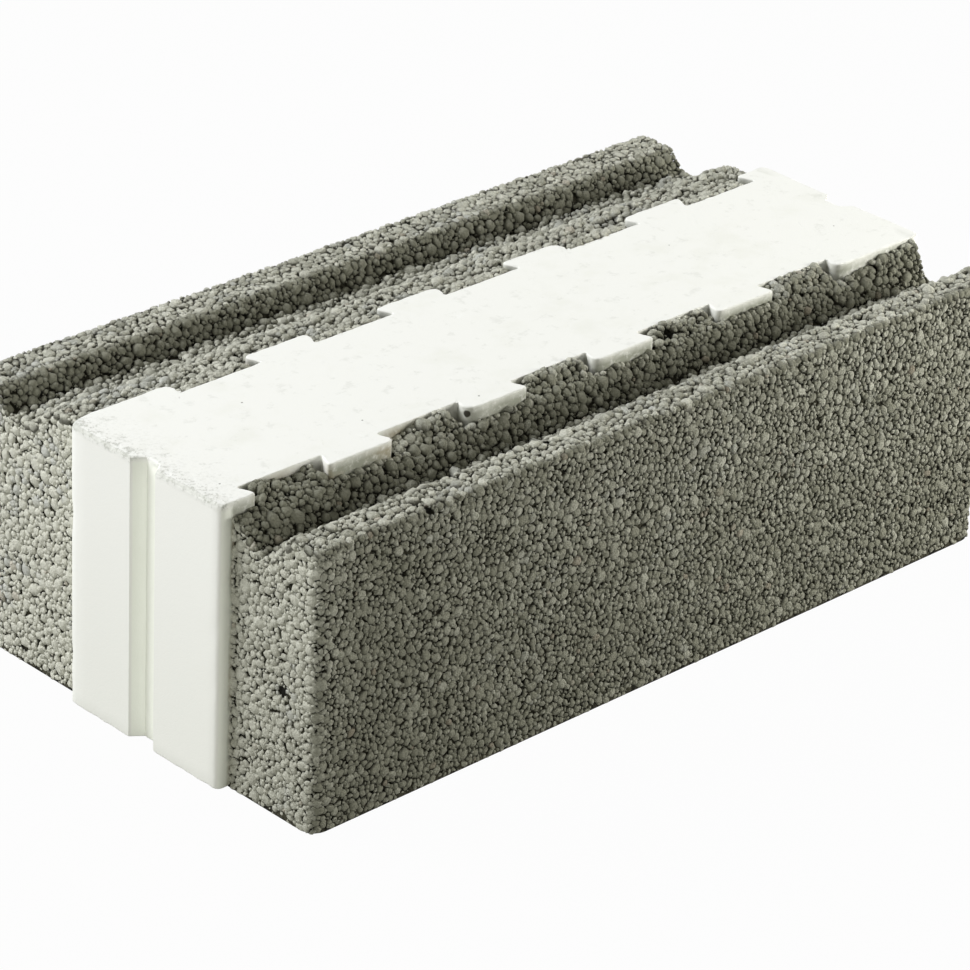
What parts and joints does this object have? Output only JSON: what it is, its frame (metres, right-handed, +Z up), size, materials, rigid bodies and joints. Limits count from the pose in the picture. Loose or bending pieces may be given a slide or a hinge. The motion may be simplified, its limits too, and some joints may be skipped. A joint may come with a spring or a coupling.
{
  "type": "insulated lightweight concrete block",
  "caption": "Masonry block with a keyed polystyrene core between two granular lightweight concrete leaves, each with a mortar trough along its top.",
  "frame": {"origin": "middle of the block's length and width, on the bed face it lies on", "axes": "+X along the block's length, +Y across it from the thin front leaf to the thick back leaf, +Z up"},
  "size_m": [0.6, 0.32, 0.19],
  "materials": {
    "polystyrene": "white expanded polystyrene, cut and moulded faces, fine bead texture",
    "clinker_concrete": "open granular clinker concrete, round grey beads with dark pores, dry and matt"
  },
  "bodies": {
    "root": {"polystyrene_core": "polystyrene", "front_leaf": "clinker_concrete", "back_leaf": "clinker_concrete"}
  },
  "joints": []
}
